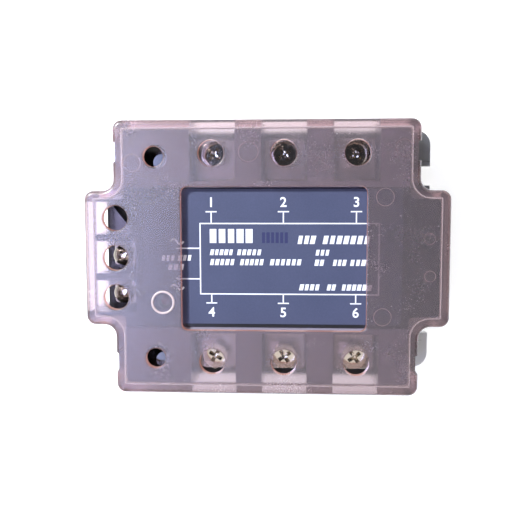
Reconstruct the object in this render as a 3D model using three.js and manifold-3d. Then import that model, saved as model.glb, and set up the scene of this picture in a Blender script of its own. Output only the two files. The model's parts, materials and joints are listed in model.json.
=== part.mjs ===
import * as THREE from 'three';
import { mergeVertices } from 'three/addons/utils/BufferGeometryUtils.js';
import Module from 'manifold-3d';

const wasm = await Module();
wasm.setup();

// ---- driving dimensions, millimetres, +Z up from the heat sink face ----
const past = 1; // how far a cutter runs beyond the face it cuts
const corners = [[-1, -1], [-1, 1], [1, -1], [1, 1]];

const plate = { halfX: 49.6, halfY: 37.2, thick: 3, corner: 4.6 };
const slot = { y: 23.1, half: 2.85, innerX: 44.2 };

const coverOut = { halfX: 42.15, halfY: 38.1, earX: 50.4, earY: 18.8, bottom: 12, top: 34 };
const coverWall = 2;
const coverRound = 1.2;
const coverRadius = { outer: 2.6, inner: 3.2 };
const cableTop = 28;
const window_ = { x0: -23.4, x1: 27.8, y0: -20.1, y1: 19.85, corner: 1.8 };
const ring = { x: -28.55, y: -12.26, outer: 3.3, inner: 2.7, high: 0.25 };
const notch = { y: 29.4, half: 2.65, deep: 0.85, leg: 2.8, legBottom: 5 };
const cornerHole = { x: -30.8, y: 28.1, radius: 2.8 };

const housing = { halfX: 39.6, halfY: 35.5, earX: 48, earY: 16.4, top: 31, wall: 2, corner: 1.2 };
const roof = 1.8;
const core = { x0: -34.8, x1: 37.2, halfY: 19, earY: 14.4, leftX: 45, rightX: 46 };
const lowHalfX = housing.halfX - housing.wall;
const lowHalfY = housing.halfY - housing.wall;
const stud = { pocketR: 3.5, radius: 2.4, offX: 1.5, offY: -1.55, top: 29, bottom: 20.5 };
const boss = { powerR: 4, controlR: 3.4, below: 6.6, web: 1.4, gap: 0.4, bite: 0.5 };

// three power positions along each long side, three control positions on the left ear
const power = { x0: 5.1, pitch: 20, y: 28.9, half: 6.35, innerY: 21.3, floor: 19.9, slab: 2, holeR: 3.55 };
const powerX = [-1, 0, 1].map((n) => power.x0 + n * power.pitch);
const powerSpots = [
  { side: 1, row: 'line', turns: [17, 0, 3] },
  { side: -1, row: 'load', turns: [26, 0, 1] },
].flatMap(({ side, row, turns }) => powerX.map((x, i) => ({ x, side, row, number: i + 1, turn: turns[i] })));
const control = { x: -41.7, y0: 0.15, pitch: 11.05, half: 4.5, floor: 20.6, holeR: 3.5 };
control.innerX = -36.6;
control.floorX = -47.2;
control.rows = [1, 0, -1].map((n) => control.y0 + n * control.pitch);
control.wired = control.rows.slice(1);
const controlTurns = [34, 63];
// the first control position is unused: a slanted pocket in place of its terminal
const spare = { deep: 1.3, outline: [[-39.7, -4.3], [-36.9, -4.3], [-36.9, 4.2], [-46.5, 4.2]] };

const strap = { thick: 1.5, width: 11.4, outerY: 33.1, leg: 5, legThick: 1.2, legY: 21.7, footY: 15.5, gap: 0.3 };
const powerClamp = { side: 8.6, thick: 1.2, hole: 2.35, corner: 1 };
const powerScrew = { headR: 7 / Math.sqrt(3), headH: 3.4, chamfer: 0.3, shaftR: 2, shaftL: 8.6, recess: 1.7 };
const flatsOut = 30; // degrees, as all the turns
const crossTurn = 34;
const cross = { long: 1.9, wide: 0.52 };
const tag = { thick: 1.2, width: 5.8, outerX: -44.4, endX: -32.9, pin: 0.9 };
const controlClamp = { side: 6, thick: 1, hole: 2.05, corner: 0.8 };
const controlScrew = { headR: 3, headH: 2.4, shaftR: 1.7, shaftL: 6.6, recess: 1.4 };

const pcb = { z: 24, thick: 1.6, x0: -34.5, x1: 36.5, halfY: 17, postR: 1.6, postX: [-32.4, 34.4], postY: 15 };
const tile = { thick: 1, halfX: 7.5, halfY: 23, pad: 0.3, padX: 6.3, padInner: 14.5, padOuter: 22.4 };
const chip = { half: 4.5, high: 1.6, pinX: 2.5, pinY: 2.5 };
const pin = { half: 0.35, hole: 0.55, above: 1 };
const opto = { x0: -4.9, x1: 2.5, y0: -9.2, y1: -2.7, high: 3.2, corner: 0.4 };
const bridge = { plan: [-29, -20.8, -3.2, 3.2], corner: 0.4, high: 2.8 };
const capacitor = { plan: [-31, -18, 7, 13], corner: 0.8, high: 10 };
const resistor = { x: -24, y: 10, radius: 1.6, long: 9 };
const led = { flangeR: 1.9, flangeH: 1, bodyR: 1.5, top: 30.7, hole: 2.1 };
const label = { x0: -34.05, x1: 37.6, y0: -18.6, y1: 19.2, thick: 0.3, corner: 1 };
const pottingTop = 10;

// ---- closed geometry to solids and back ----
function solid(geometry) {
  const g = geometry.clone();
  g.deleteAttribute('normal');
  g.deleteAttribute('uv');
  const welded = mergeVertices(g, 1e-4);
  return new wasm.Manifold(new wasm.Mesh({
    numProp: 3,
    vertProperties: new Float32Array(welded.attributes.position.array),
    triVerts: new Uint32Array(welded.index.array),
  }));
}

// box between two values on each axis, given in either order
function box(xs, ys, zs) {
  const size = [xs, ys, zs].map(([a, b]) => Math.abs(b - a));
  const middle = [xs, ys, zs].map(([a, b]) => (a + b) / 2);
  return solid(new THREE.BoxGeometry(...size).translate(...middle));
}

function drum(x, y, radius, z0, z1, sides = 20) {
  const g = new THREE.CylinderGeometry(radius, radius, z1 - z0, sides);
  return solid(g.rotateX(Math.PI / 2).translate(x, y, (z0 + z1) / 2));
}

function lathe(profile, x, y, sides = 20) {
  const g = new THREE.LatheGeometry(profile.map((p) => new THREE.Vector2(p[0], p[1])), sides);
  return solid(g.rotateX(Math.PI / 2).translate(x, y, 0));
}

function prism(points, z0, z1) {
  const g = new THREE.ExtrudeGeometry(new THREE.Shape(points), { depth: z1 - z0, bevelEnabled: false });
  return solid(g.translate(0, 0, z0));
}

const join = (first, ...rest) => rest.reduce((sum, part) => sum.add(part), first);
const cut = (first, ...rest) => rest.reduce((left, part) => left.subtract(part), first);

// right-angled outline with rounded corners, one radius for convex and one for concave ones
function rounded(corners, convex, concave = convex, steps = 4) {
  const out = [];
  corners.forEach((c, i) => {
    const before = corners[(i + corners.length - 1) % corners.length];
    const after = corners[(i + 1) % corners.length];
    const a = new THREE.Vector2(before[0] - c[0], before[1] - c[1]).normalize();
    const b = new THREE.Vector2(after[0] - c[0], after[1] - c[1]).normalize();
    const r = a.cross(b) < 0 ? convex : concave;
    for (let k = 0; k <= steps; k++) {
      const t = (k / steps) * (Math.PI / 2);
      const u = r * (1 - Math.sin(t));
      const v = r * (1 - Math.cos(t));
      out.push(new THREE.Vector2(c[0] + a.x * u + b.x * v, c[1] + a.y * u + b.y * v));
    }
  });
  return out;
}

const rectangle = (x0, x1, y0, y1) => [[x0, y0], [x1, y0], [x1, y1], [x0, y1]];

// twelve-cornered outline: main block with an ear at each end
function eared(halfX, halfY, leftX, rightX, earY) {
  return [[halfX, -halfY], [halfX, -earY], [rightX, -earY], [rightX, earY], [halfX, earY], [halfX, halfY],
    [-halfX, halfY], [-halfX, earY], [-leftX, earY], [-leftX, -earY], [-halfX, -earY], [-halfX, -halfY]];
}

const group = new THREE.Group();
group.name = 'solid_state_relay';

const finishes = {
  plate: { color: 0xb9bcc0, roughness: 0.35, metalness: 1 },
  housing: { color: 0x17161a, roughness: 0.45, metalness: 0 },
  cover: { color: 0x8c7886, roughness: 0.3, metalness: 0 },
  label: { color: 0x2b3350, roughness: 0.4, metalness: 0 },
  nickel: { color: 0xcfc8ba, roughness: 0.25, metalness: 1 },
  copper: { color: 0xb87348, roughness: 0.35, metalness: 1 },
  board: { color: 0x2f6b3a, roughness: 0.5, metalness: 0 },
  ceramic: { color: 0xe8e6df, roughness: 0.6, metalness: 0 },
  silicon: { color: 0x3b3e46, roughness: 0.3, metalness: 0.2 },
  chipBlack: { color: 0x1c1c1e, roughness: 0.5, metalness: 0 },
  potting: { color: 0x2a2724, roughness: 0.55, metalness: 0 },
  led: { color: 0xa02018, roughness: 0.2, metalness: 0 },
  capacitor: { color: 0x9c3f24, roughness: 0.4, metalness: 0 },
  resistor: { color: 0x9ab0b8, roughness: 0.5, metalness: 0 },
};

function place(name, finish, body) {
  const mesh = body.getMesh();
  const g = new THREE.BufferGeometry();
  g.setAttribute('position', new THREE.BufferAttribute(new Float32Array(mesh.vertProperties), 3));
  g.setIndex(new THREE.BufferAttribute(new Uint32Array(mesh.triVerts), 1));
  const flat = g.toNonIndexed();
  flat.computeVertexNormals();
  const piece = new THREE.Mesh(flat, new THREE.MeshStandardMaterial(finishes[finish]));
  piece.name = name;
  group.add(piece);
}

// ---- heat sink plate with a U slot open to each end near every corner ----
function makePlate() {
  const outline = rectangle(-plate.halfX, plate.halfX, -plate.halfY, plate.halfY);
  const through = [-past, plate.thick + past];
  const slots = corners.flatMap(([sx, sy]) => [
    drum(sx * slot.innerX, sy * slot.y, slot.half, ...through, 24),
    box([sx * slot.innerX, sx * (plate.halfX + past)], [sy * slot.y - slot.half, sy * slot.y + slot.half],
      through),
  ]);
  return cut(prism(rounded(outline, plate.corner, 0, 6), 0, plate.thick), ...slots);
}

// ---- translucent snap-on cover ----
function makeCover() {
  const o = coverOut;
  const w = coverWall;
  const wholeX = [-o.earX - past, o.earX + past];
  const wholeY = [-o.halfY - past, o.halfY + past];
  const shape = new THREE.Shape(rounded(eared(o.halfX, o.halfY, o.earX, o.earX, o.earY),
    coverRadius.outer, coverRadius.inner));
  const shell = new THREE.ExtrudeGeometry(shape, {
    depth: o.top - notch.legBottom, bevelEnabled: true, bevelSegments: 3,
    bevelThickness: coverRound, bevelSize: coverRound, bevelOffset: -coverRound,
  }).translate(0, 0, notch.legBottom - coverRound);
  const inside = prism(rounded(eared(o.halfX - w, o.halfY - w, o.earX - w, o.earX - w, o.earY - w),
    coverRadius.outer - w / 2, coverRadius.inner + w), notch.legBottom - past, o.top - w);
  let body = cut(solid(shell).intersect(box(wholeX, wholeY, [o.bottom, o.top])), inside);

  // only the latch legs, one pair at each notch, run on below the skirt
  const legs = corners.flatMap(([sx, sy]) => [-1, 1].map((k) => box(
    [sx * (o.halfX - w), sx * o.halfX],
    [sy * notch.y + k * notch.half, sy * notch.y + k * (notch.half + notch.leg)],
    [notch.legBottom, o.bottom],
  )));
  body = join(body, ...legs);

  // window, screwdriver holes and corner holes
  const top = [o.top - w - past, o.top + past];
  const q = window_;
  body = cut(body, prism(rounded(rectangle(q.x0, q.x1, q.y0, q.y1), q.corner), ...top),
    ...powerSpots.map(({ x, side }) => drum(x, side * power.y, power.holeR, ...top, 32)),
    ...control.rows.map((y) => drum(control.x, y, control.holeR, ...top, 32)),
    ...[-1, 1].map((sy) => drum(cornerHole.x, sy * cornerHole.y, cornerHole.radius, ...top, 24)));

  // cable mouths in the skirt, and the latch notches in its outer faces
  const mouth = [o.bottom - past, cableTop];
  body = cut(body,
    ...powerSpots.map(({ x, side }) => box([x - power.half, x + power.half],
      [side * (o.halfY - w - past), side * (o.halfY + past)], mouth)),
    box([-o.earX - past, -o.earX + w + past],
      [control.rows[2] - control.half, control.rows[0] + control.half], mouth),
    ...corners.map(([sx, sy]) => box([sx * (o.halfX - notch.deep), sx * (o.halfX + past)],
      [sy * notch.y - notch.half, sy * notch.y + notch.half], [notch.legBottom - past, o.top + past])));

  const lens = cut(drum(ring.x, ring.y, ring.outer, o.top - w / 2, o.top + ring.high, 32),
    drum(ring.x, ring.y, ring.inner, o.top, o.top + ring.high + past, 32));
  return join(body, lens);
}

// ---- black moulded housing, open underneath ----
function makeHousing() {
  const h = housing;
  const under = plate.thick - past;
  const lowTop = power.floor - power.slab;
  const highTop = h.top - roof;
  const above = h.top + past;
  let body = prism(rounded(eared(h.halfX, h.halfY, h.earX, h.earX, h.earY), h.corner, h.corner, 2),
    plate.thick, h.top);

  // wells for the power terminals, open to the long sides
  body = cut(body, ...powerSpots.map(({ x, side }) => box([x - power.half, x + power.half],
    [side * power.innerY, side * (h.halfY + past)], [power.floor, above])));

  // wells for the control terminals, open to the left; their floor stops short of the ribs
  body = cut(body, ...control.rows.flatMap((y) => {
    const across = [y - control.half, y + control.half];
    return [box([-h.earX - past, control.innerX], across, [control.floor, above]),
      box([-h.earX - past, control.floorX], across, [under, above])];
  }));
  const pocket = spare.outline.map(([x, y]) => new THREE.Vector2(x, control.rows[0] + y));
  body = cut(body, prism(pocket, control.floor - spare.deep, control.floor + past));

  // hollow underside
  body = cut(body,
    box([-lowHalfX, lowHalfX], [-lowHalfY, lowHalfY], [under, lowTop]),
    box([-core.leftX, core.x0 + past], [-core.earY, core.earY], [under, lowTop]),
    box([core.x0, core.x1], [-core.halfY, core.halfY], [under, highTop]),
    box([core.x1 - past, core.rightX], [-core.earY, core.earY], [under, highTop]));

  // blind screw bosses and board posts
  const bossFoot = lowTop - boss.below;
  body = join(body,
    ...powerSpots.map(({ x, side }) => drum(x, side * power.y, boss.powerR, bossFoot, lowTop + boss.bite)),
    ...control.wired.map((y) => drum(control.x, y, boss.controlR, bossFoot, lowTop + boss.bite)),
    ...corners.map(([sx, sy]) => drum(pcb.postX[(sx + 1) / 2], sy * pcb.postY, pcb.postR,
      pcb.z + pcb.thick, highTop + boss.bite, 12)));

  // screw holes, strap and tag slots, and the light hole
  const slack = 0.1;
  const strapHalf = strap.leg / 2 + slack;
  const tagHalf = tag.width / 2 + slack;
  body = cut(body,
    ...powerSpots.map(({ x, side }) => drum(x, side * power.y, powerScrew.shaftR + boss.gap,
      bossFoot + boss.web, power.floor + past)),
    ...powerSpots.map(({ x, side }) => box([x - strapHalf, x + strapHalf],
      [side * (strap.legY - slack), side * (strap.legY + strap.legThick + slack)],
      [lowTop - past, power.floor + past])),
    ...control.wired.map((y) => drum(control.x, y, controlScrew.shaftR + boss.gap,
      bossFoot + boss.web, control.floor + past)),
    ...control.wired.map((y) => box([control.innerX - past, core.x0 + past], [y - tagHalf, y + tagHalf],
      [control.floor, control.floor + tag.thick + slack])),
    drum(ring.x, ring.y, led.hole, highTop - past, above));

  // deep round pocket with an offset stud under each corner hole of the cover
  const pockets = [-1, 1].map((sy) => cut(
    drum(cornerHole.x, sy * cornerHole.y, stud.pocketR, stud.bottom, above, 24),
    drum(cornerHole.x + stud.offX, sy * cornerHole.y + stud.offY, stud.radius, stud.bottom - past,
      stud.top, 24)));
  return cut(body, ...pockets);
}

// ---- terminal strap: flat tongue in the well, leg down through the floor, foot on its tile ----
function makeStrap({ x, side }) {
  const tongueZ = [power.floor, power.floor + strap.thick];
  const footZ = plate.thick + tile.thick + tile.pad;
  const legEnd = strap.legY + strap.legThick;
  const legX = [x - strap.leg / 2, x + strap.leg / 2];
  return cut(join(
    box([x - strap.width / 2, x + strap.width / 2], [side * strap.legY, side * strap.outerY], tongueZ),
    box(legX, [side * strap.legY, side * legEnd], [footZ, power.floor + strap.thick / 2]),
    box(legX, [side * strap.footY, side * legEnd], [footZ, footZ + strap.legThick]),
  ), drum(x, side * power.y, powerScrew.shaftR + strap.gap, tongueZ[0] - past, tongueZ[1] + past));
}

// control terminal: flat tag through the well's end wall, pin up through the board
function makeTag(y) {
  const zs = [control.floor, control.floor + tag.thick];
  return cut(join(
    box([tag.outerX, tag.endX], [y - tag.width / 2, y + tag.width / 2], zs),
    box([tag.endX - tag.pin, tag.endX], [y - tag.pin / 2, y + tag.pin / 2],
      [zs[0] + tag.thick / 2, pcb.z + pcb.thick + pin.above]),
  ), drum(control.x, y, controlScrew.shaftR + strap.gap, zs[0] - past, zs[1] + past));
}

function makeClamp(x, y, z, c) {
  const half = c.side / 2;
  const outline = rounded(rectangle(x - half, x + half, y - half, y + half), c.corner, 0, 2);
  return cut(prism(outline, z, z + c.thick), drum(x, y, c.hole, z - past, z + c.thick + past));
}

// ---- screws: head, plain shank without its thread, cross recess turned by `turn` degrees ----
function makeRecess(x, y, top, depth, turn) {
  const zs = [top - depth, top + past];
  const arms = [[cross.long, cross.wide], [cross.wide, cross.long]];
  return join(...arms.map(([a, b]) => box([-a, a], [-b, b], zs).rotate([0, 0, turn]).translate([x, y, 0])));
}

function makeShaft(x, y, z, { shaftR, shaftL }) {
  const tip = 0.5;
  const end = z - shaftL;
  return lathe([[0, end], [shaftR - tip, end], [shaftR, end + tip], [shaftR, z + tip], [0, z + tip]], x, y, 16);
}

function makePowerScrew(x, y, z, turn) {
  const { headR, headH, chamfer, recess } = powerScrew;
  const head = new THREE.CylinderGeometry(headR, headR, headH - chamfer, 6)
    .translate(0, (headH - chamfer) / 2, 0);
  const crown = new THREE.CylinderGeometry(headR - chamfer, headR, chamfer, 6)
    .translate(0, headH - chamfer / 2, 0);
  const hex = [head, crown].map((g) => solid(g.rotateX(Math.PI / 2)).rotate([0, 0, turn + flatsOut])
    .translate([x, y, z]));
  return cut(join(...hex, makeShaft(x, y, z, powerScrew)), makeRecess(x, y, z + headH, recess, turn + crossTurn));
}

function makeControlScrew(x, y, z, turn) {
  const { headR: r, headH: h, recess } = controlScrew;
  const head = lathe([[0, z], [r, z], [r, z + h * 0.45], [r * 0.87, z + h * 0.8], [r * 0.6, z + h],
    [0, z + h]], x, y, 24);
  return cut(join(head, makeShaft(x, y, z, controlScrew)), makeRecess(x, y, z + h, recess, turn));
}

// ---- the parts, from the plate up ----
place('base_plate', 'plate', makePlate());
place('housing', 'housing', makeHousing());
place('cover', 'cover', makeCover());
place('label_panel', 'label', cut(
  prism(rounded(rectangle(label.x0, label.x1, label.y0, label.y1), label.corner, 0, 2),
    housing.top, housing.top + label.thick),
  drum(ring.x, ring.y, led.hole, housing.top - past, housing.top + past)));

const buried = []; // what the potting is cut around
function bury(name, finish, body) {
  buried.push(body);
  place(name, finish, body);
}

const tileTop = plate.thick + tile.thick;
const boardTop = pcb.z + pcb.thick;
powerX.forEach((x, i) => {
  const n = i + 1;
  const pads = [-1, 1].map((side) => box([x - tile.padX, x + tile.padX],
    [side * tile.padInner, side * tile.padOuter], [tileTop - tile.pad, tileTop + tile.pad]));
  bury(`ceramic_tile_${n}`, 'ceramic', join(
    box([x - tile.halfX, x + tile.halfX], [-tile.halfY, tile.halfY], [plate.thick, tileTop]), ...pads));
  bury(`triac_chip_${n}`, 'silicon', box([x - chip.half, x + chip.half], [-chip.half, chip.half],
    [tileTop, tileTop + chip.high]));
  bury(`gate_pin_${n}`, 'nickel', box([x + chip.pinX - pin.half, x + chip.pinX + pin.half],
    [chip.pinY - pin.half, chip.pinY + pin.half], [tileTop + chip.high, boardTop + pin.above]));
  place(`optocoupler_${n}`, 'chipBlack', prism(rounded(rectangle(x + opto.x0, x + opto.x1, opto.y0, opto.y1),
    opto.corner, 0, 1), boardTop, boardTop + opto.high));
});

powerSpots.forEach((spot) => {
  const y = spot.side * power.y;
  const z = power.floor + strap.thick;
  const n = spot.number;
  bury(`${spot.row}_terminal_${n}`, 'copper', makeStrap(spot));
  place(`${spot.row}_clamp_${n}`, 'nickel', makeClamp(spot.x, y, z, powerClamp));
  place(`${spot.row}_screw_${n}`, 'nickel', makePowerScrew(spot.x, y, z + powerClamp.thick, spot.turn));
});

control.wired.forEach((y, i) => {
  const n = i + 1;
  const z = control.floor + tag.thick;
  place(`control_terminal_${n}`, 'copper', makeTag(y));
  place(`control_clamp_${n}`, 'nickel', makeClamp(control.x, y, z, controlClamp));
  place(`control_screw_${n}`, 'nickel', makeControlScrew(control.x, y, z + controlClamp.thick,
    controlTurns[i]));
});

// ---- control board and what it carries ----
const pinSpots = [
  ...powerX.map((x) => [x + chip.pinX, chip.pinY]),
  ...control.wired.map((y) => [tag.endX - tag.pin / 2, y]),
];
place('control_board', 'board', cut(
  box([pcb.x0, pcb.x1], [-pcb.halfY, pcb.halfY], [pcb.z, boardTop]),
  ...pinSpots.map(([x, y]) => box([x - pin.hole, x + pin.hole], [y - pin.hole, y + pin.hole],
    [pcb.z - past, boardTop + past]))));
place('indicator_led', 'led', lathe([[0, boardTop], [led.flangeR, boardTop],
  [led.flangeR, boardTop + led.flangeH], [led.bodyR, boardTop + led.flangeH],
  [led.bodyR, led.top - led.bodyR], [led.bodyR * 0.87, led.top - led.bodyR * 0.5],
  [led.bodyR * 0.5, led.top - led.bodyR * 0.13], [0, led.top]], ring.x, ring.y, 16));
place('bridge_rectifier', 'chipBlack', prism(rounded(rectangle(...bridge.plan), bridge.corner, 0, 1),
  boardTop, boardTop + bridge.high));
place('dropper_capacitor', 'capacitor', prism(rounded(rectangle(...capacitor.plan), capacitor.corner, 0, 2),
  pcb.z - capacitor.high, pcb.z));
place('dropper_resistor', 'resistor', solid(
  new THREE.CylinderGeometry(resistor.radius, resistor.radius, resistor.long, 16)
    .translate(resistor.x, resistor.y, boardTop + resistor.radius)));

// ---- potting around everything that stands in the bottom of the housing ----
const pottingOutline = eared(lowHalfX, lowHalfY, core.leftX, core.rightX, core.earY)
  .map(([x, y]) => new THREE.Vector2(x, y));
place('potting', 'potting', cut(prism(pottingOutline, plate.thick, pottingTop), ...buried));

export default group;
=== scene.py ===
import json
import math

import bmesh
import bpy
from mathutils import Matrix, Vector


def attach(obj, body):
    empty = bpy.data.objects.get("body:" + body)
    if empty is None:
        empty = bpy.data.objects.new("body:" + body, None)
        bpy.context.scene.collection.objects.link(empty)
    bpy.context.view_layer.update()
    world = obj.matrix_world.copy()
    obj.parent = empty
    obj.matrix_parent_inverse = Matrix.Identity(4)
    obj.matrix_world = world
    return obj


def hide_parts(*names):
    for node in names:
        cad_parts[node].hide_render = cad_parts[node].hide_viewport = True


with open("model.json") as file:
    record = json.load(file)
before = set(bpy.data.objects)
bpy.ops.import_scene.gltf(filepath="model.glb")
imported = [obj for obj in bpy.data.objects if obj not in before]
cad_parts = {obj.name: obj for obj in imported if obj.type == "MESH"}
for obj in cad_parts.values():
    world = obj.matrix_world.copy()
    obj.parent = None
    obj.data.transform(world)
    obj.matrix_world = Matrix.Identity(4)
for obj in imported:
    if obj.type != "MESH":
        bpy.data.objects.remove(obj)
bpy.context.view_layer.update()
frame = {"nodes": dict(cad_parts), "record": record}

mm = 0.001
nodes = frame["nodes"]
print("frame loaded,", len(nodes), "nodes")

# where the terminals stand; each screw's own turn is in degrees
terminals = {"x": (-14.9, 5.1, 25.1), "y": 28.9, "washerTop": 22.6,
             "turns": {"line": (17, 0, 3), "load": (26, 0, 1)}}
controls = {"x": -41.7, "y": (0.15, -10.9), "spareY": 11.2, "washerTop": 22.8, "turns": (34, 63)}


def roundedOutline(cornerList, convex, concave, inset=0.0, steps=6):
    # walks a right-angled outline, moved inwards by inset, with an arc at each corner
    points = []
    count = len(cornerList)
    for i, corner in enumerate(cornerList):
        here = Vector(corner)
        along = (here - Vector(cornerList[i - 1])).normalized()
        onward = (Vector(cornerList[(i + 1) % count]) - here).normalized()
        inA, inB = Vector((-along.y, along.x)), Vector((-onward.y, onward.x))
        isConvex = along.x * onward.y - along.y * onward.x > 0
        side = 1 if isConvex else -1
        radius = max(convex - inset if isConvex else concave + inset, 0.05)
        centre = here + (inA + inB) * (inset + side * radius)
        for k in range(steps + 1):
            a = math.pi / 2 * k / steps
            points.append(centre - side * radius * (inA * math.cos(a) + inB * math.sin(a)))
    return points


def rectangle(x0, x1, y0, y1):
    return [(x0, y0), (x1, y0), (x1, y1), (x0, y1)]


def eared(halfX, halfY, earX, earY):
    return [(halfX, -halfY), (halfX, -earY), (earX, -earY), (earX, earY), (halfX, earY), (halfX, halfY),
            (-halfX, halfY), (-halfX, earY), (-earX, earY), (-earX, -earY), (-halfX, -earY), (-halfX, -halfY)]


def circle(x, y, radius, steps=48):
    turns = [2 * math.pi * k / steps for k in range(steps)]
    return [Vector((x + radius * math.cos(a), y + radius * math.sin(a))) for a in turns]


def addStack(bm, rings):
    # closed solid through rings of equal count, each (outline, z), from the bottom up
    rows = [[bm.verts.new((p.x, p.y, z)) for p in outline] for outline, z in rings]
    count = len(rows[0])
    for low, high in zip(rows, rows[1:]):
        for i in range(count):
            j = (i + 1) % count
            bm.faces.new((low[i], low[j], high[j], high[i]))
    bm.faces.new(rows[0][::-1])
    bm.faces.new(rows[-1])


def addTorus(bm, x, y, profile, steps=64):
    # closed ring whose section is a list of (radius, z), anticlockwise seen along its run
    rows = [[bm.verts.new((p.x, p.y, z)) for p in circle(x, y, radius, steps)] for radius, z in profile]
    for low, high in zip(rows, rows[1:] + rows[:1]):
        for i in range(steps):
            j = (i + 1) % steps
            bm.faces.new((low[i], low[j], high[j], high[i]))


def addBox(bm, xs, ys, zs):
    addStack(bm, [([Vector(p) for p in rectangle(*sorted(xs), *sorted(ys))], z) for z in sorted(zs)])


def linkObject(name, data):
    made = bpy.data.objects.new(name, data)
    bpy.context.scene.collection.objects.link(made)
    return made


def plainObject(bm, name):
    mesh = bpy.data.meshes.new(name)
    bm.to_mesh(mesh)
    bm.free()
    return linkObject(name, mesh)


def objectFrom(bm, name):
    bmesh.ops.recalc_face_normals(bm, faces=bm.faces)
    return plainObject(bm, name)


def evaluated(piece):
    graph = bpy.context.evaluated_depsgraph_get()
    graph.update()
    return bpy.data.meshes.new_from_object(piece.evaluated_get(graph))


def freeze(piece):
    # what the modifiers make becomes the piece's own mesh
    mesh = evaluated(piece)
    piece.modifiers.clear()
    piece.data = mesh
    return piece


def carve(piece, tool, operation="DIFFERENCE"):
    step = piece.modifiers.new("carve", "BOOLEAN")
    step.operation = operation
    step.solver = "EXACT"
    step.object = tool
    freeze(piece)
    bpy.data.objects.remove(tool)
    return piece


def mergedCopy(name, node):
    # a node's triangles, merged into faces, in millimetres
    bm = bmesh.new()
    bm.from_mesh(nodes[node].data)
    bmesh.ops.scale(bm, vec=(1 / mm,) * 3, verts=bm.verts)
    bmesh.ops.remove_doubles(bm, verts=bm.verts, dist=0.002)
    bmesh.ops.dissolve_limit(bm, angle_limit=math.radians(1), verts=bm.verts, edges=bm.edges)
    return plainObject(bm, name)


def softenEdges(piece, width, segments=2, angle=40):
    # rounds the edges and keeps which faces are edge faces in "worn", for the finishes
    mesh = piece.data
    mesh.materials.clear()
    for slotNumber in range(2):
        mesh.materials.append(None)
    for face in mesh.polygons:
        face.material_index = 0
    bevel = piece.modifiers.new("edges", "BEVEL")
    bevel.width = width
    bevel.segments = segments
    bevel.limit_method = "ANGLE"
    bevel.angle_limit = math.radians(angle)
    bevel.material = 1
    bevel.miter_outer = "MITER_ARC"
    freeze(piece)
    mesh = piece.data
    worn = mesh.attributes.new("worn", "FLOAT", "FACE")
    worn.data.foreach_set("value", [float(face.material_index == 1) for face in mesh.polygons])
    for face in mesh.polygons:
        face.material_index = 0
    mesh.materials.clear()
    return piece


def place(piece, body, material, replaced=(), smooth=38):
    # last step for every piece: metres, shading, finish, and the body that carries it
    mesh = piece.data
    mesh.transform(Matrix.Scale(mm, 4))
    mesh.materials.clear()
    mesh.materials.append(material)
    mesh.shade_smooth()
    mesh.set_sharp_from_angle(angle=math.radians(smooth))
    weigh = piece.modifiers.new("normals", "WEIGHTED_NORMAL")
    weigh.keep_sharp = True
    freeze(piece)
    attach(piece, body)
    if replaced:
        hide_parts(*replaced)
    return piece


def put(tree, kind, values=None, **settings):
    made = tree.nodes.new(kind)
    for key, value in settings.items():
        setattr(made, key, value)
    for key, value in (values or {}).items():
        if isinstance(value, bpy.types.NodeSocket):
            tree.links.new(value, made.inputs[key])
        else:
            made.inputs[key].default_value = value
    return made


def calc(tree, operation, *values):
    return put(tree, "ShaderNodeMath", dict(enumerate(values)), operation=operation).outputs[0]


def times(tree, first, second):
    return calc(tree, "MULTIPLY", first, second)


def shaderGroup(name, inputs, outputs):
    tree = bpy.data.node_groups.new(name, "ShaderNodeTree")
    for label, value in inputs.items():
        socket = tree.interface.new_socket(name=label, in_out="INPUT", socket_type="NodeSocketFloat")
        socket.default_value = value
    for label in outputs:
        tree.interface.new_socket(name=label, in_out="OUTPUT", socket_type="NodeSocketFloat")
    return tree, tree.nodes.new("NodeGroupInput").outputs, tree.nodes.new("NodeGroupOutput").inputs


def scaledPlace(tree, scale, stretch=(1, 1, 1)):
    # object coordinates times a scale, each way by its own share
    spot = put(tree, "ShaderNodeTexCoord").outputs["Object"]
    shared = put(tree, "ShaderNodeVectorMath", {0: spot, 1: stretch}, operation="MULTIPLY").outputs[0]
    return put(tree, "ShaderNodeVectorMath", {0: shared, "Scale": scale}, operation="SCALE").outputs[0]


def makeGrain():
    # even speckle with a slower drift under it: moulded plastic, plating, film
    tree, given, out = shaderGroup("fineGrain", {"Scale": 1500.0, "Drift": 0.35}, ("Height", "Mottle"))
    fine = put(tree, "ShaderNodeTexNoise", {"Vector": scaledPlace(tree, given["Scale"]), "Scale": 1.0,
                                            "Detail": 3.0, "Roughness": 0.6})
    slow = put(tree, "ShaderNodeTexNoise", {"Vector": scaledPlace(tree, 90.0), "Scale": 1.0, "Detail": 2.0})
    both = put(tree, "ShaderNodeMix", {0: given["Drift"], 2: fine.outputs[0], 3: slow.outputs[0]})
    tree.links.new(fine.outputs[0], out["Height"])
    tree.links.new(both.outputs[0], out["Mottle"])
    return tree


def makeRubbing():
    # broken-up mask of the rounded edges, for where handling has polished or chipped them
    tree, given, out = shaderGroup("rubbedEdges", {"Scale": 900.0, "Reach": 0.5}, ("Mask",))
    edge = put(tree, "ShaderNodeAttribute", attribute_name="worn").outputs["Fac"]
    patch = put(tree, "ShaderNodeTexNoise", {"Vector": scaledPlace(tree, given["Scale"]), "Scale": 1.0,
                                             "Detail": 4.0})
    opened = times(tree, patch.outputs[0], given["Reach"])
    lifted = put(tree, "ShaderNodeMapRange", {0: opened, 1: 0.15, 2: 0.3})
    tree.links.new(times(tree, edge, lifted.outputs[0]), out["Mask"])
    return tree


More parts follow.
